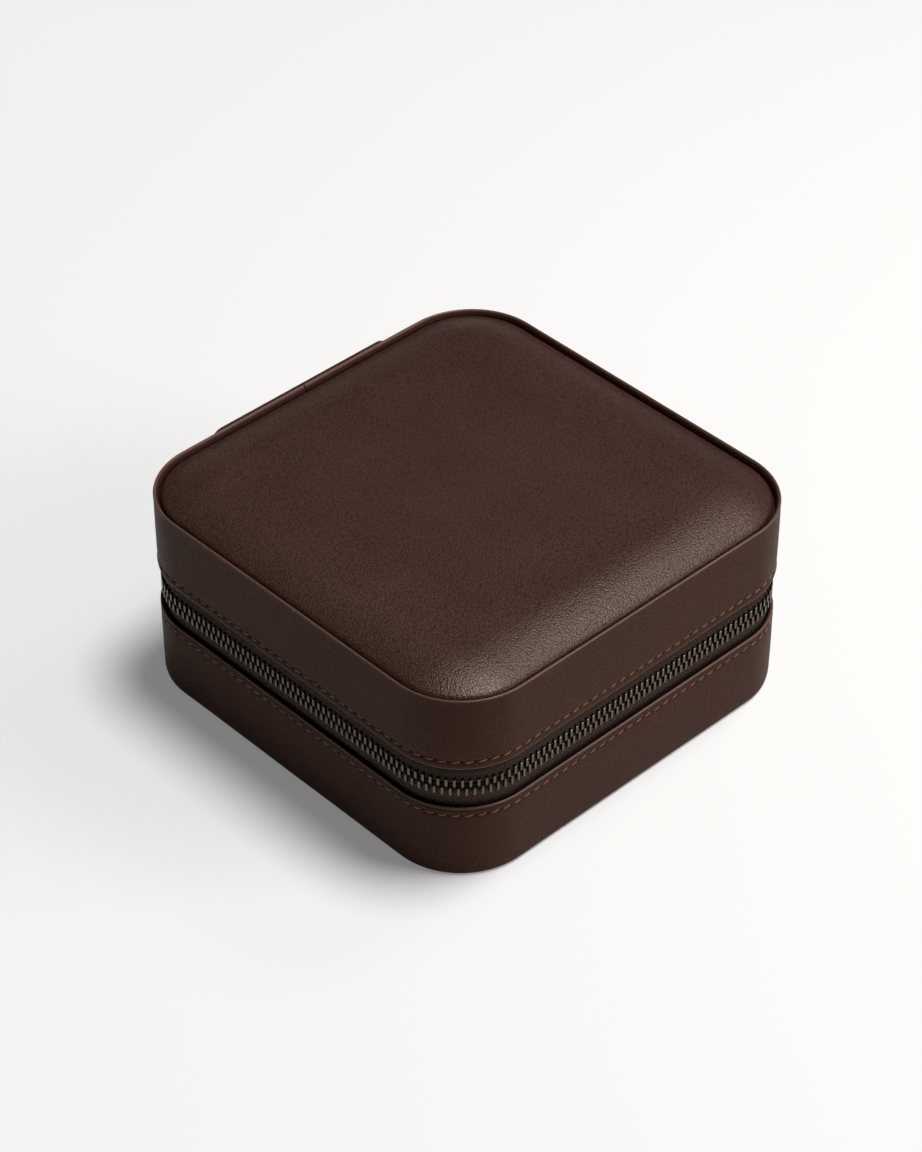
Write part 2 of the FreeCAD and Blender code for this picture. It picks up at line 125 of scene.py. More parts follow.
class Reading:
    """A value in a finish. Sums with it add Math nodes."""

    def __init__(self, finish, socket):
        self.finish = finish
        self.socket = socket

    def math(self, operation, first, second=0.0):
        return self.finish.node("Math", {"operation": operation}, {0: first, 1: second})

    def __add__(self, other):
        return self.math("ADD", self, other)

    def __sub__(self, other):
        return self.math("SUBTRACT", self, other)

    def __rsub__(self, other):
        return self.math("SUBTRACT", other, self)

    def __mul__(self, other):
        return self.math("MULTIPLY", self, other)

    def __truediv__(self, other):
        return self.math("DIVIDE", self, other)

    __radd__ = __add__
    __rmul__ = __mul__

    def size(self):
        return self.math("ABSOLUTE", self)

    def zigzag(self):
        """Rises from 0 to 1 and falls back over each whole number."""
        return 1 - (self.math("FRACT", self) - 0.5).size() * 2

    def between(self, low, high):
        """0 below low, 1 above high, and smooth between them."""
        return self.finish.node(
            "MapRange",
            {"interpolation_type": "SMOOTHSTEP"},
            {"Value": self, "From Min": low, "From Max": high},
        )


class Finish:
    """A material, and the one way its nodes are made."""

    def __init__(self, name, **settings):
        self.material = bpy.data.materials.new(name)
        self.material.use_nodes = True
        self.tree = self.material.node_tree
        self.surface = self.tree.nodes["Principled BSDF"]
        for socket, value in settings.items():
            self.set(socket.replace("_", " "), value)

    def node(self, kind, settings, sockets, output=0):
        made = self.tree.nodes.new("ShaderNode" + kind)
        for name, value in settings.items():
            setattr(made, name, value)
        for key, value in sockets.items():
            self.feed(made.inputs[key], value)
        return Reading(self, made.outputs[output])

    def feed(self, socket, value):
        if isinstance(value, Reading):
            self.tree.links.new(value.socket, socket)
        else:
            socket.default_value = value

    def set(self, socket, value):
        self.feed(self.surface.inputs[socket], value)

    def place(self):
        return self.node("TexCoord", {}, {}, "Object")

    def walk(self):
        """Distance round the case and height, from the piece's own UV map."""
        uv = self.node("UVMap", {"uv_map": "walk"}, {})
        return self.part(uv, "X"), self.part(uv, "Y")

    def part(self, vector, axis):
        return self.node("SeparateXYZ", {}, {0: vector}, axis)

    def mark(self, name):
        return self.node("Attribute", {"attribute_name": name}, {}, "Fac")

    def noise(self, size, detail=2.0, roughness=0.5):
        """Soft random spots about this size."""
        sockets = {"Vector": self.place(), "Scale": 1 / size}
        sockets["Detail"] = detail
        sockets["Roughness"] = roughness
        return self.node("TexNoise", {}, sockets)

    def pebbles(self, size, smoothness=0.5):
        """Rounded cells about this size, high in their middles."""
        sockets = {"Vector": self.place(), "Scale": 1 / size, "Smoothness": smoothness}
        return 1 - self.node("TexVoronoi", {"feature": "SMOOTH_F1"}, sockets)

    def mix(self, share, first, second):
        return self.node("Mix", {"data_type": "RGBA"}, {0: share, 6: first, 7: second}, 2)

    def dye(self, share, dark, pale):
        self.set("Base Color", self.mix(share, dark, pale))

    def bump(self, height, depth):
        sockets = {"Height": height, "Distance": depth, "Strength": 1.0}
        self.set("Normal", self.node("Bump", {}, sockets))


def colour(red, green, blue, light=1.0):
    return (red * light, green * light, blue * light, 1.0)


brown = (0.0485, 0.0204, 0.0132)
worn_brown = (0.13, 0.068, 0.048)
warm_gleam = (1.0, 0.84, 0.75)


def leather(
    name, pebble, depth, roughness, gloss, contrast, shine=0.0, edges=(), stitch_height=None
):
    """Dyed brown leather, shiny on its pebbles, with this contrast between pebbles and creases.

    Edges are pairs of heights: dye thins from the first to the second. Along a stitch height, the
    stitch holes get painted shade."""
    finish = Finish(name, Specular_IOR_Level=gloss, Coat_Roughness=0.28)
    finish.set("Specular Tint", colour(*warm_gleam))
    grain = finish.pebbles(pebble, 0.3)
    creases = finish.noise(pebble * 0.5)
    cloud = finish.noise(24 * mm, 3.0)
    mottle = (cloud - 0.5) * (0.7 / contrast) + (grain - 0.6) * 1.6
    tone = mottle + (creases - 0.5) * 0.6 + 0.5
    spread = 0.28 * contrast
    dyed = finish.mix(tone, colour(*brown, 1 - spread), colour(*brown, 1 + spread))
    if edges or stitch_height:
        along, height = finish.walk()
    polish = grain.between(0.4, 0.85) * shine
    for start, end in edges:
        low, high = sorted((start, end))
        worn = height.between(low, high)
        if start > end:
            worn = 1 - worn
        dyed = finish.mix(worn * (0.55 + cloud * 0.5), dyed, colour(*worn_brown))
        polish = worn * 0.55 + polish
    finish.set("Coat Weight", polish)
    if stitch_height:
        # Painted shade: near-black spots at the stitch holes between the stitches, where the thread
        # dives into the leather.
        beside = (along / stitch_pitch + 0.5).zigzag()
        across = (height - stitch_height).size()
        painted_hole_shade = (1 - beside.between(0.14, 0.42)) * (1 - across.between(0.16 * mm, 0.42 * mm))
        dyed = finish.mix(painted_hole_shade * 0.95, dyed, colour(*brown, 0.08))
    finish.set("Base Color", dyed)
    finish.set("Roughness", roughness + (cloud - 0.5) * 0.16 - (grain - 0.6) * 0.12)
    finish.bump(grain + creases * 0.2, depth)
    return finish.material


def sewing_thread():
    """Twisted waxed thread; the twist follows each stitch's own UV map."""
    finish = Finish("sewing_thread", Specular_IOR_Level=0.4)
    uv = finish.node("UVMap", {"uv_map": "walk"}, {})
    twist = (finish.part(uv, "X") * 5.0 + finish.part(uv, "Y")).zigzag()
    shade = finish.noise(4 * mm)
    dark = colour(0.085, 0.032, 0.015)
    pale = colour(0.27, 0.122, 0.062)
    finish.dye(twist * (0.5 + shade * 0.7), dark, pale)
    finish.set("Roughness", 0.62 - twist * 0.12)
    finish.bump(twist, 0.05 * mm)
    return finish.material


def tape_weave():
    """Herringbone twill: slanted ribs that turn back at every band of the tape, with painted shade
    along both lips.
    """
    finish = Finish("zip_tape_weave", Specular_IOR_Level=0.25)
    along, height = finish.walk()
    band = 1.5 * mm
    rib = 0.85 * mm
    slant = (height / band).zigzag()
    ribs = ((along + slant * band * 0.55) / rib).zigzag()
    turn = (slant - 0.5).size().between(0.36, 0.5)
    fuzz = finish.noise(0.25 * mm)
    # Painted shade: the tape goes near black just above the base's lip and under the lid's lip,
    # where the lips shade it.
    above_base = (height - base_lip).between(0.1 * mm, 1.3 * mm)
    below_lid = (lid_lip - height).between(1.0 * mm, 2.9 * mm)
    clear_of_painted_shade = above_base * below_lid
    shade = ribs * (1 - turn * 0.45) * (0.75 + fuzz * 0.5) * (0.12 + clear_of_painted_shade * 0.88)
    finish.dye(shade, colour(0.004, 0.0025, 0.002), colour(0.078, 0.037, 0.023))
    finish.set("Roughness", 0.9 - ribs * 0.2)
    finish.bump(ribs * (1 - turn * 0.6) + fuzz * 0.25, 0.14 * mm)
    return finish.material


def aged_brass(name, by_wear):
    """Antique brass: dark in the hollows, rubbed pale on the faces that are touched."""
    finish = Finish(name, Metallic=1.0)
    spots = finish.noise(0.9 * mm, 3.0)
    if by_wear:
        rubbed = finish.mark("worn") * (0.72 + spots * 0.4)
    else:
        rubbed = spots * 0.3 + finish.noise(6 * mm) * 0.35 + 0.35
    finish.dye(rubbed, colour(0.014, 0.0095, 0.0065), colour(0.121, 0.1, 0.075))
    finish.set("Roughness", 0.46 - rubbed * 0.18 + (spots - 0.5) * 0.12)
    finish.bump(spots, 0.02 * mm)
    return finish.material


def suede(name, red, green, blue):
    """Short-napped lining cloth, brushed in patches."""
    finish = Finish(name, Specular_IOR_Level=0.1, Sheen_Weight=0.1, Sheen_Roughness=0.5)
    finish.set("Sheen Tint", colour(0.6, 0.45, 0.33))
    nap = finish.noise(0.5 * mm, 3.0, 0.7)
    brushed = finish.noise(16 * mm, 3.0)
    tone = (nap - 0.5) * 1.6 + brushed.between(0.3, 0.7) * 0.35 + 0.33
    finish.dye(tone, colour(red, green, blue, 0.66), colour(red, green, blue, 1.26))
    finish.set("Roughness", 0.96 - brushed * 0.12)
    finish.bump(nap, 0.16 * mm)
    return finish.material


def plain_weave(name, thread, red, green, blue):
    """Fine cloth woven over and under."""
    finish = Finish(name, Specular_IOR_Level=0.15)
    place = finish.place()
    warp = (finish.part(place, "X") / thread).zigzag()
    weft = (finish.part(place, "Y") / thread).zigzag()
    cloud = finish.noise(9 * mm)
    weave = warp * weft
    tone = weave * 0.7 + cloud * 0.4
    finish.dye(tone, colour(red, green, blue, 0.6), colour(red, green, blue, 1.25))
    finish.set("Roughness", 0.85 - weave * 0.1)
    finish.bump(weave, 0.06 * mm)
    return finish.material


def grey_board():
    """Pressed paper board with short fibres."""
    finish = Finish("grey_board_fibre", Specular_IOR_Level=0.2)
    fibre = finish.noise(0.8 * mm, 4.0, 0.7)
    cloud = finish.noise(12 * mm)
    tone = fibre * 0.7 + cloud * 0.4
    finish.dye(tone, colour(0.26, 0.24, 0.21), colour(0.5, 0.47, 0.42))
    finish.set("Roughness", 0.95 - fibre * 0.1)
    finish.bump(fibre, 0.06 * mm)
    return finish.material


def open_foam():
    """Soft foam full of small cells."""
    finish = Finish("open_foam", Specular_IOR_Level=0.1)
    cells = finish.pebbles(0.7 * mm, 0.2)
    cloud = finish.noise(15 * mm)
    tone = 1 - cells + cloud * 0.4
    finish.dye(tone, colour(0.45, 0.42, 0.36), colour(0.8, 0.77, 0.7))
    finish.set("Roughness", 0.98 - cells * 0.06)
    finish.bump(0 - cells, 0.2 * mm)
    return finish.material


# Places round the case

def round_path(half_x, half_y, radius, distance):
    """A place on a rounded rectangle, and how far the walk has turned.

    The walk starts at the middle of the +Y side and goes towards -X."""
    arc = radius * math.pi / 2
    for side in range(4):
        wide, deep = (half_x, half_y) if side % 2 == 0 else (half_y, half_x)
        straight = wide - radius
        length = straight + arc + deep - radius
        if distance <= length or side == 3:
            break
        distance -= length
    turn = min(max((distance - straight) / radius, 0), math.pi / 2)
    x = -min(distance, straight) - radius * math.sin(turn)
    y = deep - radius + radius * math.cos(turn) - max(distance - straight - arc, 0)
    turned = side * math.pi / 2
    return Matrix.Rotation(turned, 3, "Z") @ Vector((x, y, 0)), turned + turn


def stood(inset, distance, height):
    """The frame of a small thing on the wall: X runs along the walk, -Y faces outwards, Z is up."""
    place, turn = round_path(half - inset, half - inset, corner - inset, distance)
    facing = Matrix.Rotation(turn + math.pi, 4, "Z")
    return Matrix.Translation(place + Vector((0, 0, height))) @ facing


def walked(point):
    """How far round the case a point is, along its outer face, from the middle of the back."""
    side = int((math.atan2(-point.x, point.y) % math.tau) / (math.pi / 2)) % 4
    local = Matrix.Rotation(-side * math.pi / 2, 3, "Z") @ point
    arc = corner * math.pi / 2
    past_x = -local.x - flat
    past_y = local.y - flat
    if past_x <= 0:
        along = -local.x
    elif past_y <= 0:
        along = flat + arc - past_y
    else:
        along = flat + corner * math.atan2(past_x, past_y)
    return side * (2 * flat + arc) + along


def outline_length(inset):
    return 8 * flat + (corner - inset) * math.tau


# Shapes

def sweep(section, left_gap=0.0, right_gap=0.0, looped=True):
    """Runs a section of (inset, height) points round the case and closes what is left open.

    With gaps, the run starts and ends that far from the middle of the back."""
    mesh = bmesh.new()
    chain = [mesh.verts.new((-left_gap, half - inset, height)) for inset, height in section]
    pairs = list(zip(chain, chain[1:]))
    if looped:
        pairs.append((chain[-1], chain[0]))
    head = chain + [mesh.edges.new(pair) for pair in pairs]
    heading = Vector((-1, 0, 0))
    centre = Vector((-flat, flat, 0))
    quarter_turn = Matrix.Rotation(math.pi / 2, 3, "Z")
    runs = (flat - left_gap, 2 * flat, 2 * flat, 2 * flat, flat - right_gap)
    for number, run in enumerate(runs):
        steps = max(2, round(run / wall_step))
        move = heading * (run / steps)
        head = bmesh.ops.spin(
            mesh, geom=head, cent=centre, axis=(0, 0, 1), dvec=move, angle=0, steps=steps
        )["geom_last"]
        if number < 4:
            head = bmesh.ops.spin(
                mesh, geom=head, cent=centre, axis=(0, 0, 1), dvec=(0, 0, 0), angle=math.pi / 2,
                steps=corner_steps,
            )["geom_last"]
            heading = quarter_turn @ heading
            centre = quarter_turn @ centre
    if not left_gap and not right_gap:
        bmesh.ops.remove_doubles(mesh, verts=mesh.verts[:], dist=1e-7)
    return closed(mesh)


def closed(mesh):
    """Fills open ends and turns every face outwards."""
    open_edges = [edge for edge in mesh.edges if edge.is_boundary]
    bmesh.ops.holes_fill(mesh, edges=open_edges, sides=0)
    bmesh.ops.recalc_face_normals(mesh, faces=mesh.faces[:])
    return mesh


def section_at(height, points):
    """Millimetre (inset, rise) points as a stretch of a section above a height."""
    return [(inset * mm, height + rise * mm) for inset, rise in points]


def uneven(mesh, amount, spacing):
    """Pushes the surface in and out a little, as worked leather is."""
    mesh.normal_update()
    for vert in mesh.verts:
        vert.co += vert.normal * (amount * noise.noise(vert.co / spacing))
    return mesh


def walk_map(mesh):
    """A UV map of distance round the case and height, in metres."""
    layer = mesh.loops.layers.uv.new("walk")
    for face in mesh.faces:
        for loop in face.loops:
            loop[layer].uv = (walked(loop.vert.co), loop.vert.co.z)
    return mesh


def softened(node, width, segments=2):
    """A copy of a solid with its sharp edges rounded."""
    mesh = bmesh.new()
    mesh.from_mesh(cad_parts[node].data)
    bmesh.ops.remove_doubles(mesh, verts=mesh.verts[:], dist=same_place)
    bmesh.ops.dissolve_limit(
        mesh, angle_limit=math.radians(2), verts=mesh.verts[:], edges=mesh.edges[:]
    )
    sharp = [edge for edge in mesh.edges if edge.calc_face_angle(0) > math.radians(35)]
    round_off(mesh, sharp, width, segments)
    return mesh


def round_off(mesh, edges, width, segments):
    bmesh.ops.bevel(
        mesh, geom=edges, offset=width, offset_type="OFFSET", affect="EDGES", segments=segments,
        profile=0.5, material=-1, clamp_overlap=True,
    )


def rounded_face(half_x, half_y, radius, corners=lambda place: True):
    """One flat face about the origin, facing up, with rounded corners."""
    mesh = bmesh.new()
    bmesh.ops.create_grid(mesh, x_segments=1, y_segments=1, size=1.0)
    bmesh.ops.scale(mesh, vec=(half_x, half_y, 1), verts=mesh.verts[:])
    cut_back = [vert for vert in mesh.verts if corners(vert.co)]
    bmesh.ops.bevel(
        mesh, geom=cut_back, offset=radius, offset_type="OFFSET", affect="VERTICES", segments=10,
        profile=0.5, material=-1,
    )
    return mesh


def plate(half_x, half_y, thickness, radius, edge, seam=None, corners=lambda place: True):
    """A leather plate on z 0, with rounded edges and a sewn groove that far in from them."""
    mesh = rounded_face(half_x, half_y, radius, corners)
    grown = bmesh.ops.extrude_face_region(mesh, geom=mesh.faces[:])["geom"]
    lifted = [item for item in grown if isinstance(item, bmesh.types.BMVert)]
    bmesh.ops.translate(mesh, vec=(0, 0, thickness), verts=lifted)
    closed(mesh)
    rims = [e for e in mesh.edges if abs(e.verts[0].co.z - e.verts[1].co.z) < 1e-9]
    round_off(mesh, rims, edge, 3)
    if seam:
        top = max(mesh.faces, key=lambda face: face.calc_center_median().z)
        groove = ((seam - edge - seam_side, 0), (seam_side, -seam_depth), (seam_side, seam_depth))
        for width, depth in groove:
            bmesh.ops.inset_region(mesh, faces=[top], thickness=width, depth=depth)
    return mesh


def turned(profile, steps=40):
    """A round thing about the Z axis from (radius, height) points."""
    mesh = bmesh.new()
    chain = [mesh.verts.new((radius, 0, height)) for radius, height in profile]
    edges = [mesh.edges.new(pair) for pair in zip(chain, chain[1:])]
    bmesh.ops.spin(
        mesh, geom=chain + edges, cent=(0, 0, 0), axis=(0, 0, 1), angle=math.tau, steps=steps,
        use_merge=True,
    )
    bmesh.ops.remove_doubles(mesh, verts=mesh.verts[:], dist=same_place)
    bmesh.ops.recalc_face_normals(mesh, faces=mesh.faces[:])
    return mesh


def sliced(mesh, low, high, steps, axis):
    """Cuts rows across a shape so that it can bend between two places on an axis."""
    normal = Vector((0, 0, 0))
    normal[axis] = 1
    for step in range(steps + 1):
        place = normal * (low + (high - low) * step / steps)
        everything = mesh.verts[:] + mesh.edges[:] + mesh.faces[:]
        bmesh.ops.bisect_plane(mesh, geom=everything, plane_co=place, plane_no=normal, dist=1e-7)
    return mesh


def repeated(pattern, frames):
    """One mesh of many copies of a small shape, each stood in its own frame."""
    joined = bmesh.new()
    data = bpy.data.meshes.new("pattern")
    pattern.to_mesh(data)
    pattern.free()
    for matrix in frames:
        data.transform(matrix)
        joined.from_mesh(data)
        data.transform(matrix.inverted())
    bpy.data.meshes.remove(data)
    return joined


def piece(name, mesh, material, nodes=(), crease=40):
    """A finished piece in its place, which stands for solids of the case."""
    data = bpy.data.meshes.new(name)
    mesh.to_mesh(data)
    mesh.free()
    data.materials.append(material)
    data.shade_smooth()
    data.set_sharp_from_angle(angle=math.radians(crease))
    made = bpy.data.objects.new(name, data)
    bpy.context.scene.collection.objects.link(made)
    if nodes:
        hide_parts(*nodes)
    return made


def bent_at_hinge(made):
    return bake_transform(made)


# Leather shell

def lid_wall():
    """A band with a rolled lower edge, a sewn dent and a bare rim, butted at the back."""
    foot = [
        (1.2, 0.5), (1.1, 0.16), (0.82, 0.02), (0.5, 0.0), (0.2, 0.1), (0.03, 0.36),
        (-0.06, 0.75), (-0.12, 1.2), (-0.08, 1.6), (0.1, 2.05), (0.26, 2.4), (0.12, 2.75),
        (0.0, 3.2), (-0.02, 4.2), (-0.05, 8.0), (-0.06, 12.0), (-0.04, 16.0),
    ]
    head = [
        (0.0, -2.0), (0.0, -1.2), (-0.03, -0.6), (-0.05, -0.3), (0.02, -0.12), (0.14, -0.02),
        (0.3, 0.0), (0.48, -0.08), (0.68, -0.3), (0.9, -0.65), (1.08, -1.1), (1.18, -1.6),
        (1.2, -2.2), (1.2, -3.2),
    ]
    mesh = sweep(section_at(lid_lip, foot) + section_at(rim, head), wall_seam, wall_seam)
    walk_map(uneven(mesh, wall_ripple, 19 * mm))
    made = piece("lid_wall", mesh, lid_leather, ["lid_wall_leather"])
    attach(made, "lid")


def base_wall():
    """A band rolled in under the floor, with a sewn dent and a folded lip."""
    foot = [
        (8.0, 1.0), (8.0, 0.0), (2.2, 0.0), (2.0, -0.12), (1.5, -0.5), (1.0, -0.68),
        (0.6, -0.68), (0.3, -0.52), (0.1, -0.2), (0.0, 0.4), (-0.02, 1.4), (-0.03, 3.0),
        (-0.05, 6.0), (-0.06, 10.0), (-0.04, 14.5),
    ]
    head = [
        (-0.02, -3.4), (0.0, -3.1), (0.12, -2.65), (0.24, -2.3), (0.12, -1.95), (-0.02, -1.55),
        (-0.04, -1.2), (0.0, -0.98), (0.11, -0.88), (0.0, -0.76), (-0.03, -0.5), (-0.03, -0.25),
        (0.04, -0.09), (0.16, -0.01), (0.32, 0.0), (0.52, -0.1), (0.74, -0.36), (0.96, -0.8),
        (1.12, -1.3), (1.2, -1.9),
    ]
    inside = [(1.2, 1.0)]
    section = section_at(base_foot, foot) + section_at(base_lip, head)
    section += section_at(base_foot, inside)
    mesh = walk_map(uneven(sweep(section, wall_seam, wall_seam), wall_ripple, 17 * mm))
    made = piece("base_wall", mesh, base_leather, ["base_wall_leather"])
    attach(made, "base")


def bottom_panel():
    made = piece(
        "bottom_leather", softened("base_bottom_panel", 0.25 * mm), plain_leather,
        ["base_bottom_panel"],
    )
    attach(made, "base")


def crowned_pad(inset, seat, side, crown):
    """A pad over the case's plan: an edge that rolls over to a gently domed middle, open below."""
    reach = half - inset
    radius = corner - inset
    straight = reach - radius
    slope = crown - seat - side - pad_roll
    mesh = bmesh.new()
    bmesh.ops.create_grid(mesh, x_segments=pad_cells, y_segments=pad_cells, size=1.0)
    for vert in mesh.verts:
        ring = max(abs(vert.co.x), abs(vert.co.y))
        if ring == 0:
            continue
        share = min(abs(vert.co.x), abs(vert.co.y)) / ring
        walk = share * (straight + radius * math.pi / 4)
        turn = max(walk - straight, 0) / radius
        out = straight + radius * math.cos(turn)
        along = min(walk, straight) + radius * math.sin(turn)
        place = (out, along) if abs(vert.co.x) >= abs(vert.co.y) else (along, out)
        scale = 1 - (1 - ring) ** 1.8
        vert.co.x = math.copysign(place[0] * scale, vert.co.x)
        vert.co.y = math.copysign(place[1] * scale, vert.co.y)
    for vert in mesh.verts:
        past_x = abs(vert.co.x) - straight
        past_y = abs(vert.co.y) - straight
        drawn_in = radius - math.hypot(max(past_x, 0), max(past_y, 0)) - min(max(past_x, past_y), 0)
        level = 1 - min(max(drawn_in, 0) / pad_slope_run, 1)
        edge = 1 - min(max(drawn_in, 0) / pad_roll, 1)
        rise = slope * (1 - level * level) + pad_roll * math.sqrt(1 - edge * edge)
        rise += pad_dome * (1 - (vert.co.x / reach) ** 2) * (1 - (vert.co.y / reach) ** 2)
        vert.co.z = seat + side + rise
        vert.co.z += 0.12 * mm * noise.noise(vert.co / (16 * mm)) * (1 - level)
    lowered = drawn_out(mesh)
    bmesh.ops.translate(mesh, vec=(0, 0, -side), verts=lowered)
    return mesh


def drawn_out(mesh):
    """Grows a new row from a sheet's open edge and gives its points."""
    edges = [edge for edge in mesh.edges if edge.is_boundary]
    grown = bmesh.ops.extrude_edge_only(mesh, edges=edges)["geom"]
    return [item for item in grown if isinstance(item, bmesh.types.BMVert)]


def padded_top():
    """Leather drawn over foam, down into the groove inside the rim and out across its floor."""
    low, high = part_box("lid_top_leather")
    inset = half - high.x - groove_bulge
    mesh = crowned_pad(inset, low.z + top_skin, pad_side - top_skin, high.z)
    for vert in drawn_out(mesh):
        away_x = math.copysign(max(abs(vert.co.x) - flat, 0), vert.co.x)
        away_y = math.copysign(max(abs(vert.co.y) - flat, 0), vert.co.y)
        vert.co += Vector((away_x, away_y, 0)).normalized() * (inset - groove_floor)
    bmesh.ops.recalc_face_normals(mesh, faces=mesh.faces[:])
    made = piece("padded_top", mesh, top_leather, ["lid_top_leather"], 70)
    skin = made.modifiers.new("leather", "SOLIDIFY")
    skin.thickness = top_skin
    skin.offset = -1
    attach(made, "lid")


def top_foam():
    low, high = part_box("lid_foam")
    mesh = closed(crowned_pad(half - high.x, low.z, pad_side, high.z))
    made = piece("top_foam", mesh, foam, ["lid_foam"], 70)
    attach(made, "lid")


def stitch():
    """One stitch along X: a short thread whose ends dive into the leather."""
    mesh = bmesh.new()
    bmesh.ops.create_uvsphere(mesh, u_segments=8, v_segments=7, radius=0.5)
    bmesh.ops.rotate(mesh, matrix=Matrix.Rotation(math.pi / 2, 3, "Y"), verts=mesh.verts[:])
    layer = mesh.loops.layers.uv.new("walk")
    for face in mesh.faces:
        for loop in face.loops:
            place = loop.vert.co
            loop[layer].uv = (place.x, math.atan2(place.y, place.z) / math.tau)
    for vert in mesh.verts:
        vert.co.x = math.copysign(abs(2 * vert.co.x) ** 0.8 / 2, vert.co.x)
    bmesh.ops.scale(mesh, vec=(stitch_length, stitch_width, stitch_width), verts=mesh.verts[:])
    bmesh.ops.rotate(mesh, matrix=Matrix.Rotation(-stitch_slant, 3, "Y"), verts=mesh.verts[:])
    return mesh


def wall_stitches(name, body, height):
    """A row of stitches round the case, clear of the strap."""
    first = math.ceil(sewing_start / stitch_pitch)
    last = math.floor((outline_length(0) - sewing_start) / stitch_pitch)
    sunk = 0.17 * mm
    frames = [stood(sunk, number * stitch_pitch, height) for number in range(first, last + 1)]
    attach(piece(name, repeated(stitch(), frames), thread), body)


# Hinge

def strap():
    """A leather strap over the back, sewn round its edge, with rows cut across it where the lid
    opens.
    """
    low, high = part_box("hinge_strap")
    thickness = high.y - low.y
    tall = (high.z - low.z) / 2
    middle = Vector((0, low.y, (low.z + high.z) / 2))
    upright = Matrix.Translation(middle) @ Matrix.Rotation(-math.pi / 2, 4, "X")
    mesh = plate(high.x, tall, thickness, strap_corner, 0.4 * mm, strap_seam)
    bmesh.ops.transform(mesh, matrix=upright, verts=mesh.verts[:])
    sliced(mesh, base_lip - 3 * mm, lid_lip + 3 * mm, 34, 2)
    uneven(mesh, 0.06 * mm, 15 * mm)
    bent_at_hinge(piece("strap", mesh, plain_leather, ["hinge_strap"]))
    half_x = high.x - strap_seam
    half_y = tall - strap_seam
    radius = strap_corner - strap_seam
    on_face = upright @ Matrix.Translation((0, 0, thickness - 0.08 * mm))
    around = 4 * (half_x + half_y - 2 * radius) + math.tau * radius
    count = round(around / stitch_pitch)
    frames = []
    for number in range(count):
        place, turn = round_path(half_x, half_y, radius, around * number / count)
        along = Matrix.Rotation(turn, 4, "Z") @ Matrix.Rotation(math.pi / 2, 4, "X")
        frames.append(on_face @ Matrix.Translation(place) @ along)
    bent_at_hinge(piece("strap_stitches", repeated(stitch(), frames), thread))


def hinge_cloth():
    """The cloth that closes the gap behind the strap."""
    low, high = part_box("hinge_lining")
    mesh = softened("hinge_lining", 0.15 * mm)
    sliced(mesh, low.z + 0.4 * mm, high.z - 0.4 * mm, 30, 2)
    made = piece("hinge_cloth", mesh, lining, ["hinge_lining"])
    bent_at_hinge(made)


# Zip

def zip_tape(name, node, body, left_gap):
    """A woven tape with a corded edge that the teeth grip."""
    low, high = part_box(node)
    up = 1 if low.z > zip_height else -1
    far = high.z if up > 0 else low.z
    cord = [
        (1.25, 2.4), (1.1, 2.1), (0.98, 1.6), (1.08, 1.15), (1.4, 0.93), (1.7, 0.93), (2.02, 1.15),
        (2.12, 1.6), (2.0, 2.1), (1.85, 2.4),
    ]
    face = 1.25 * mm
    rear = 1.85 * mm
    cord_start = zip_height + up * 2.4 * mm
    section = [(face, far + (cord_start - far) * step / 4) for step in range(4)]
    section += [(inset * mm, zip_height + up * rise * mm) for inset, rise in cord]
    section.append((rear, far))
    mesh = walk_map(sweep(section, left_gap, chain_end))
    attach(piece(name, mesh, tape, [node]), body)


def tooth(up):
    """One tooth on the front: slender legs that grip the tape and a set-back head that meshes."""
    leg = 2.35 * mm
    shoulder = 0.22 * mm
    head = -0.85 * mm
    depth = 2.2 * mm
    mesh = bmesh.new()
    bmesh.ops.create_cube(mesh, size=1.0)
    bmesh.ops.scale(mesh, vec=(tooth_width, depth, leg - head), verts=mesh.verts[:])
    bmesh.ops.translate(mesh, vec=(0, 0, (leg + head) / 2), verts=mesh.verts[:])
    for height in (shoulder, shoulder - 0.25 * mm):
        everything = mesh.verts[:] + mesh.edges[:] + mesh.faces[:]
        bmesh.ops.bisect_plane(mesh, geom=everything, plane_co=(0, 0, height), plane_no=(0, 0, 1))
    set_back = [vert for vert in mesh.verts if vert.co.z < shoulder - 0.1 * mm]
    bmesh.ops.scale(mesh, vec=(1, 0.6, 1), verts=set_back)
    round_off(mesh, mesh.edges[:], 0.12 * mm, 1)
    worn = mesh.verts.layers.float.new("worn")
    for vert in mesh.verts:
        vert[worn] = 1.0 if vert.co.y < -0.95 * mm and abs(vert.co.x) < 0.3 * mm else 0.0
    bmesh.ops.scale(mesh, vec=(1, 1, up), verts=mesh.verts[:])
    bmesh.ops.recalc_face_normals(mesh, faces=mesh.faces[:])
    return mesh


def zip_teeth(name, node, body, up):
    """A row of teeth; the lid's row stands half a pitch on from the base's."""
    first = chain_start + tooth_width / 2 + (tooth_pitch / 2 if up > 0 else 0)
    places = [first + tooth_pitch * number for number in range(tooth_count)]
    frames = [stood(tape_inset, place, zip_height) for place in places]
    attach(piece(name, repeated(tooth(up), frames), teeth_brass, [node], 25), body)


def zip_fittings():
    """Slider, pull and stops, with eased edges."""
    fittings = (
        ("slider", "zip_slider", "zip_slider", 0.22),
        ("closed_end_stop", "zip_bottom_stop", "base", 0.2),
        ("base_end_stop", "zip_top_stop_base", "base", 0.2),
        ("lid_end_stop", "zip_top_stop_lid", "lid", 0.2),
        ("pull_tab", "zip_pull", "zip_pull", 0.2),
    )
    for name, node, body, width in fittings:
        mesh = softened(node, width * mm)
        if node == "zip_pull":
            sunk_panel(mesh)
        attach(piece(name, mesh, brass, [node], 25), body)


def sunk_panel(mesh):
    """Sinks a panel into the two broad faces of the pull."""
    mesh.normal_update()
    broad = sorted(mesh.faces, key=lambda face: face.calc_area())[-2:]
    bmesh.ops.inset_individual(mesh, faces=broad, thickness=0.8 * mm)
    bmesh.ops.inset_individual(mesh, faces=broad, thickness=0.2 * mm, depth=-0.28 * mm)
    bmesh.ops.triangulate(mesh, faces=mesh.faces[:])


# Linings and the inside of the base

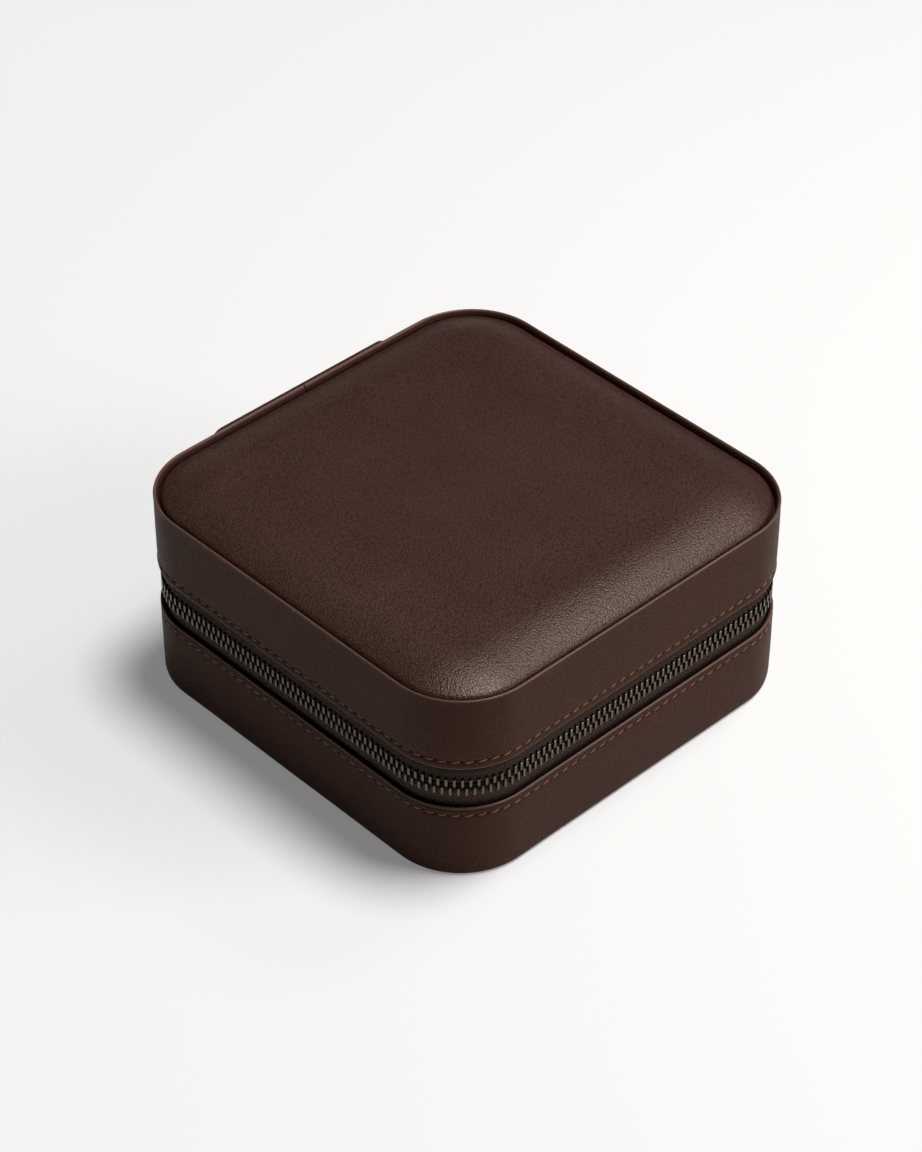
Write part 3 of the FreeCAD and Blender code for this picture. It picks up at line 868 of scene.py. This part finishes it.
def tub(name, node, body, floor_height, lip_height, inner, hem, outer):
    """A cloth lining run round the case, hemmed at its lip and closed across its floor."""
    section = section_at(floor_height, inner) + section_at(lip_height, hem)
    mesh = sweep(section + section_at(floor_height, outer), looped=False)
    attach(piece(name, mesh, lining, [node]), body)


def linings():
    low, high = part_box("base_lining")
    inner = [(15, 0.8), (5.0, 0.8), (4.5, 0.9), (4.2, 1.2), (4.1, 1.7), (4.1, 8), (4.1, 15.6)]
    hem = [(4.0, -0.25), (3.75, -0.05), (3.4, 0.0), (2.3, 0.0), (2.0, -0.1), (1.9, -0.35)]
    outer = [(1.9, 12.5), (3.3, 12.45), (3.3, 0.0), (15, 0.0)]
    tub("base_suede", "base_lining", "base", low.z, high.z, inner, hem, outer)
    low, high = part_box("lid_lining")
    inner = [(15, -0.8), (5, -0.8), (4.5, -0.9), (4.2, -1.2), (4.1, -1.7), (4.1, -7), (4.1, -14.2)]
    hem = [(4.0, 0.25), (3.75, 0.05), (3.4, 0.0), (2.3, 0.0), (2.0, 0.1), (1.9, 0.35)]
    outer = [(1.9, -11.1), (3.3, -11.05), (3.3, 0.0), (15, 0.0)]
    tub("lid_suede", "lid_lining", "lid", high.z, low.z, inner, hem, outer)


def compartments():
    """Dividers, the ribs that hold one of them, and the tray round the ring rolls."""
    shapes = (
        ("long_divider", "divider_fixed", "base", 0.7, 4),
        ("cross_divider", "divider_lift_out", "lift_out_divider", 0.7, 4),
        ("divider_ribs", "divider_guides", "base", 0.4, 3),
        ("tray", "ring_tray", "base", 0.9, 5),
    )
    for name, node, body, width, segments in shapes:
        mesh = softened(node, width * mm, segments)
        made = piece(name, mesh, lining, [node], 50)
        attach(made, body)


def soft_bar(length, width, height):
    """A bar about the origin with a flat foot, sides that draw in and a round crown."""
    mesh = bmesh.new()
    bmesh.ops.create_cube(mesh, size=2.0)
    bmesh.ops.subdivide_edges(mesh, edges=mesh.edges[:], cuts=11, use_grid_fill=True)
    for vert in mesh.verts:
        x, y, z = vert.co
        drawn_in = 1 - 0.12 * z ** 4 if z > 0 else 1 - 0.08 * z * z
        crown = 1 - 0.4 * abs(y) ** 2.6 if z > 0 else 1
        vert.co = Vector((x, y * drawn_in, z * crown))
    bmesh.ops.scale(mesh, vec=(length / 2, width / 2, height / 2), verts=mesh.verts[:])
    return mesh


def evaluated(made):
    graph = bpy.context.evaluated_depsgraph_get()
    return bpy.data.meshes.new_from_object(made.evaluated_get(graph), depsgraph=graph)


def swollen(mesh):
    """Blows a closed shape up as wrapped cloth that is glued down at its foot.

    It is worked at ten times its size, where its pressure and weight are those of a cushion."""
    bmesh.ops.scale(mesh, vec=Vector((1, 1, 1)) * swelling_scale, verts=mesh.verts[:])
    data = bpy.data.meshes.new("swelling")
    mesh.to_mesh(data)
    mesh.free()
    made = bpy.data.objects.new("swelling", data)
    bpy.context.scene.collection.objects.link(made)
    remesh = made.modifiers.new("even", "REMESH")
    remesh.mode = "VOXEL"
    remesh.voxel_size = swelling_cell
    made.data = evaluated(made)
    made.modifiers.remove(remesh)
    foot = min(vert.co.z for vert in made.data.vertices)
    glued = made.vertex_groups.new(name="glued")
    lowest = [vert.index for vert in made.data.vertices if vert.co.z < foot + swelling_cell]
    glued.add(lowest, 1.0, "REPLACE")
    cloth = made.modifiers.new("cloth", "CLOTH")
    cloth.settings.use_pressure = True
    cloth.settings.uniform_pressure_force = swelling_pressure
    cloth.settings.effector_weights.gravity = 0
    cloth.settings.vertex_group_mass = "glued"
    cloth.collision_settings.use_collision = False
    cloth.point_cache.frame_end = swelling_frames
    for moment in range(1, swelling_frames + 1):
        bpy.context.scene.frame_set(moment)
    result = bmesh.new()
    result.from_mesh(evaluated(made))
    bpy.data.objects.remove(made)
    bpy.context.scene.frame_set(1)
    for _ in range(swelling_ease):
        bmesh.ops.smooth_vert(
            result, verts=result.verts[:], factor=0.5,
            use_axis_x=True, use_axis_y=True, use_axis_z=True,
        )
    return result


def fitted(mesh, low, high):
    """Brings a shape to a box."""
    for axis in range(3):
        places = [vert.co[axis] for vert in mesh.verts]
        least = min(places)
        share = (high[axis] - low[axis]) / (max(places) - least)
        for vert in mesh.verts:
            vert.co[axis] = low[axis] + (vert.co[axis] - least) * share
    return mesh


def ring_rolls():
    """Soft bars of wrapped foam that rings are pressed between."""
    low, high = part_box("ring_roll_1")
    pattern = bpy.data.meshes.new("ring_roll")
    swollen(soft_bar(*(high - low))).to_mesh(pattern)
    for number in range(1, 7):
        node = f"ring_roll_{number}"
        mesh = bmesh.new()
        mesh.from_mesh(pattern)
        if number % 2 == 0:
            bmesh.ops.rotate(mesh, matrix=Matrix.Rotation(math.pi, 3, "Z"), verts=mesh.verts[:])
        fitted(mesh, *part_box(node))
        made = piece(f"roll_{number}", mesh, roll_suede, [node], 80)
        smooth = made.modifiers.new("soft", "SUBSURF")
        smooth.levels = smooth.render_levels = 1
        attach(made, "base")


# Inside of the lid

def mouth_drop(x, half_width):
    """How much of its depth the pocket has at x: none at its sewn sides, all over its middle."""
    share = min((half_width - abs(x)) / pocket_corner, 1)
    return max(share, 0) ** 0.6 if share < 1 else 1.0


def gather(x, y):
    """The folds that the elastic draws into the cloth."""
    phase = x / gather_pitch + 0.55 * noise.noise(Vector((x, y * 0.25, 0)) / (11 * mm))
    return math.cos(phase * math.tau) * (0.8 + 0.5 * noise.noise(Vector((x, 0, 7)) / (6 * mm)))


def pocket():
    """A cloth pocket gathered along its mouth, sewn to the lid's lining on its other sides."""
    low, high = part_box("lid_pocket")
    half_width = high.x
    length = high.y - low.y
    mesh = bmesh.new()
    bmesh.ops.create_grid(mesh, x_segments=170, y_segments=36, size=0.5)
    for vert in mesh.verts:
        x = vert.co.x * 2 * half_width
        share = vert.co.y + 0.5
        depth = pocket_depth - pocket_taper * share
        fold = gather(x, share * length) * 0.68 * mm * (1 - share) ** 1.6
        sag = 0.32 * mm * math.sin(math.pi * share)
        hang = (depth + fold + sag) * mouth_drop(x, half_width)
        vert.co = Vector((x, low.y + length * share, high.z - pocket_seat - hang))
    bmesh.ops.recalc_face_normals(mesh, faces=mesh.faces[:])
    made = piece("gathered_pocket", mesh, pocket_cloth, ["lid_pocket"], 80)
    cloth = made.modifiers.new("cloth", "SOLIDIFY")
    cloth.thickness = 0.5 * mm
    cloth.offset = 0
    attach(made, "lid")


def pocket_band():
    """The shirred band of elastic along the pocket's mouth."""
    low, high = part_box("pocket_elastic")
    half_width = high.x
    pocket_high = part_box("lid_pocket")[1].z
    mesh = bmesh.new()
    bmesh.ops.create_grid(mesh, x_segments=200, y_segments=8, size=0.5)
    for vert in mesh.verts:
        x = vert.co.x * 2 * half_width
        share = vert.co.y + 0.5
        fold = gather(x, 0) * (0.24 + 0.4 * math.sin(math.pi * share)) * mm
        hang = (pocket_depth + fold) * mouth_drop(x, half_width)
        y = low.y + (high.y - low.y) * share + 0.35 * mm * gather(x + 2 * mm, 0) * (1 - share)
        vert.co = Vector((x, y, pocket_high - pocket_seat - hang))
    bmesh.ops.recalc_face_normals(mesh, faces=mesh.faces[:])
    made = piece("shirred_band", mesh, elastic, ["pocket_elastic"], 80)
    cloth = made.modifiers.new("cloth", "SOLIDIFY")
    cloth.thickness = 0.9 * mm
    cloth.offset = 0
    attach(made, "lid")


def necklace_holder():
    """A leather strip, three tabs that flip down from it and the snaps that hold them."""
    low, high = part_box("necklace_strip")
    middle = (low + high) / 2
    size = high - low
    face_down = Matrix.Translation((0, middle.y, high.z)) @ Matrix.Rotation(math.pi, 4, "X")
    mesh = plate(size.x / 2, size.y / 2, size.z, 1.0 * mm, tab_edge)
    bmesh.ops.transform(mesh, matrix=face_down, verts=mesh.verts[:])
    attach(piece("tab_strip", mesh, plain_leather, ["necklace_strip"]), "lid")
    frames = []
    for number in range(-13, 14):
        place = Vector((number * stitch_pitch, 0, size.z - thread_sink))
        frames.append(face_down @ Matrix.Translation(place) @ Matrix.Rotation(math.pi / 2, 4, "X"))
    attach(piece("strip_stitches", repeated(stitch(), frames), thread), "lid")
    for number in (1, 2, 3):
        necklace_tab(number)
    studs()


def necklace_tab(number):
    body = f"necklace_tab_{number}"
    low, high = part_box(body)
    middle = (low + high) / 2
    size = (high - low) / 2
    face_down = Matrix.Translation((middle.x, middle.y, high.z)) @ Matrix.Rotation(math.pi, 4, "X")
    mesh = plate(
        size.x, size.y, size.z * 2, tab_corner, tab_edge, tab_seam,
        corners=lambda place: place.y < 0,
    )
    bmesh.ops.transform(mesh, matrix=face_down, verts=mesh.verts[:])
    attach(piece(f"tab_{number}", mesh, plain_leather, [body]), body)
    frames = []
    turn = Matrix.Rotation(math.pi / 2, 4, "Z") @ Matrix.Rotation(math.pi / 2, 4, "X")
    for x in (tab_seam - size.x, size.x - tab_seam):
        for step in range(6):
            place = Vector((x, 10 * mm - step * stitch_pitch, size.z * 2 - thread_sink))
            frames.append(face_down @ Matrix.Translation(place) @ turn)
    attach(piece(f"tab_stitches_{number}", repeated(stitch(), frames), thread), body)
    cap = f"snap_cap_{number}"
    low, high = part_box(cap)
    profile = [
        (0, 0), (3.6, 0), (3.92, -0.12), (4.0, -0.35), (3.95, -0.6), (3.7, -0.82), (3.35, -0.9),
        (3.15, -0.86), (2.95, -0.98), (2.4, -1.2), (1.6, -1.34), (0.8, -1.39), (0, -1.4),
    ]
    mesh = turned([(radius * mm, height * mm) for radius, height in profile])
    place = Vector(((low.x + high.x) / 2, (low.y + high.y) / 2, high.z))
    bmesh.ops.translate(mesh, vec=place, verts=mesh.verts[:])
    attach(piece(f"cap_{number}", mesh, brass, [cap], 30), body)


def studs():
    """The halves of the snaps that are set in the lid's lining."""
    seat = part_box("snap_studs")[1].z
    profile = [
        (0, 0), (2.9, 0), (3.0, -0.1), (3.0, -0.22), (2.85, -0.32), (2.1, -0.36), (1.75, -0.42),
        (1.6, -0.6), (1.65, -0.75), (1.5, -0.88), (1.1, -0.9), (0.9, -0.7), (0, -0.68),
    ]
    pattern = turned([(radius * mm, height * mm) for radius, height in profile], 28)
    places = []
    for number in (1, 2, 3):
        cap_low, cap_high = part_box(f"snap_cap_{number}")
        middle = (cap_low + cap_high) / 2
        places.append(Matrix.Translation((middle.x, middle.y, seat)))
    made = piece("studs", repeated(pattern, places), brass, ["snap_studs"], 30)
    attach(made, "lid")


def boards():
    """The hidden boards keep their solids and get the look of board."""
    for node in ("base_floor_board", "base_frame", "lid_frame", "lid_board"):
        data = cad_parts[node].data
        data.materials.clear()
        data.materials.append(board)


# Studio

def floor():
    mesh = bmesh.new()
    bmesh.ops.create_grid(mesh, x_segments=1, y_segments=1, size=3.0)
    bmesh.ops.translate(mesh, vec=(0, 0, -0.02 * mm), verts=mesh.verts[:])
    finish = Finish("pale_floor", Specular_IOR_Level=0.0, Roughness=1.0)
    finish.set("Base Color", colour(0.86, 0.865, 0.855))
    seen = finish.node("LightPath", {}, {}, "Is Camera Ray")
    seen = seen + finish.node("LightPath", {}, {}, "Is Glossy Ray")
    seen = seen + finish.node("LightPath", {}, {}, "Is Transmission Ray")
    glow = 0.18
    white = finish.node("Emission", {}, {"Strength": 1.0})
    lit = Reading(finish, finish.surface.outputs[0])
    shown = finish.node("MixShader", {}, {0: seen * glow, 1: lit, 2: white})
    finish.feed(finish.tree.nodes["Material Output"].inputs["Surface"], shown)
    piece("floor", mesh, finish.material)


def lamp(name, kind, energy, place):
    """A lamp at a place, or far off in that direction, aimed at the case."""
    data = bpy.data.lights.new(name, kind)
    data.energy = energy
    made = bpy.data.objects.new(name, data)
    made.rotation_mode = "QUATERNION"
    made.rotation_quaternion = place.to_track_quat("Z", "Y")
    made.location = place
    bpy.context.scene.collection.objects.link(made)
    return data


def lamps():
    lamp("key", "SUN", 2.54, Vector((0.25, -0.1, 0.963))).angle = math.radians(20)
    side = lamp("side", "AREA", 0.15, Vector((0.22, -0.05, 0.345)))
    side.size = 0.09
    side.color = (1.0, 0.86, 0.77)
    front = lamp("front", "AREA", 5.6, Vector((0.6, -0.8, 0.42)))
    front.size = 0.54
    front.color = (1.0, 0.95, 0.91)
    world = bpy.data.worlds.new("studio")
    world.use_nodes = True
    sky = world.node_tree.nodes["Background"].inputs
    sky["Color"].default_value = (1, 1, 1, 1)
    sky["Strength"].default_value = 0.07
    bpy.context.scene.world = world


def camera():
    """The photograph's own view, from the front left and above."""
    azimuth = math.radians(-43.594)
    elevation = math.radians(39.959)
    level = math.cos(elevation)
    back = Vector((math.sin(azimuth) * level, -math.cos(azimuth) * level, math.sin(elevation)))
    right = Vector((math.cos(azimuth), math.sin(azimuth), 0))
    up = back.cross(right)
    eye = back * 0.8241 - right * 0.00132 + up * 0.0208
    data = bpy.data.cameras.new("camera")
    data.lens = 105.79
    data.sensor_width = 36
    made = bpy.data.objects.new("camera", data)
    axes = Matrix((right, up, back)).transposed().to_4x4()
    made.matrix_world = Matrix.Translation(eye) @ axes
    bpy.context.scene.collection.objects.link(made)
    bpy.context.scene.camera = made
    bpy.context.scene.view_settings.view_transform = "Standard"


top_leather = leather("top_leather", 0.46 * mm, 0.088 * mm, 0.39, 0.35, 1.6, shine=0.25)
lid_leather = leather(
    "lid_wall_leather_finish", 0.42 * mm, 0.03 * mm, 0.52, 0.07, 0.75,
    edges=((rim - 0.5 * mm, rim - 0.02 * mm), (lid_lip + 0.7 * mm, lid_lip + 0.1 * mm)),
    stitch_height=lid_stitch_height,
)
base_leather = leather(
    "base_wall_leather_finish", 0.42 * mm, 0.03 * mm, 0.52, 0.07, 0.75,
    edges=((base_lip - 0.5 * mm, base_lip - 0.02 * mm),), stitch_height=base_stitch_height,
)
plain_leather = leather("plain_leather", 0.5 * mm, 0.05 * mm, 0.5, 0.12, 1.0)
thread = sewing_thread()
tape = tape_weave()
teeth_brass = aged_brass("teeth_brass", True)
brass = aged_brass("fittings_brass", False)
lining = suede("lining_suede", 0.26, 0.17, 0.11)
roll_suede = suede("roll_suede", 0.29, 0.19, 0.125)
pocket_cloth = plain_weave("pocket_weave", 0.3 * mm, 0.2, 0.13, 0.085)
elastic = plain_weave("elastic_weave", 0.45 * mm, 0.1, 0.06, 0.04)
board = grey_board()
foam = open_foam()

lid_wall()
base_wall()
bottom_panel()
padded_top()
top_foam()
wall_stitches("lid_stitches", "lid", lid_stitch_height)
wall_stitches("base_stitches", "base", base_stitch_height)
strap()
hinge_cloth()
zip_tape("lid_tape", "zip_tape_lid", "lid", chain_start)
zip_tape("base_tape", "zip_tape_base", "base", chain_end)
zip_teeth("lid_teeth", "zip_teeth_lid", "lid", 1)
zip_teeth("base_teeth", "zip_teeth_base", "base", -1)
zip_fittings()
linings()
compartments()
ring_rolls()
pocket()
pocket_band()
necklace_holder()
boards()
floor()
lamps()
camera()

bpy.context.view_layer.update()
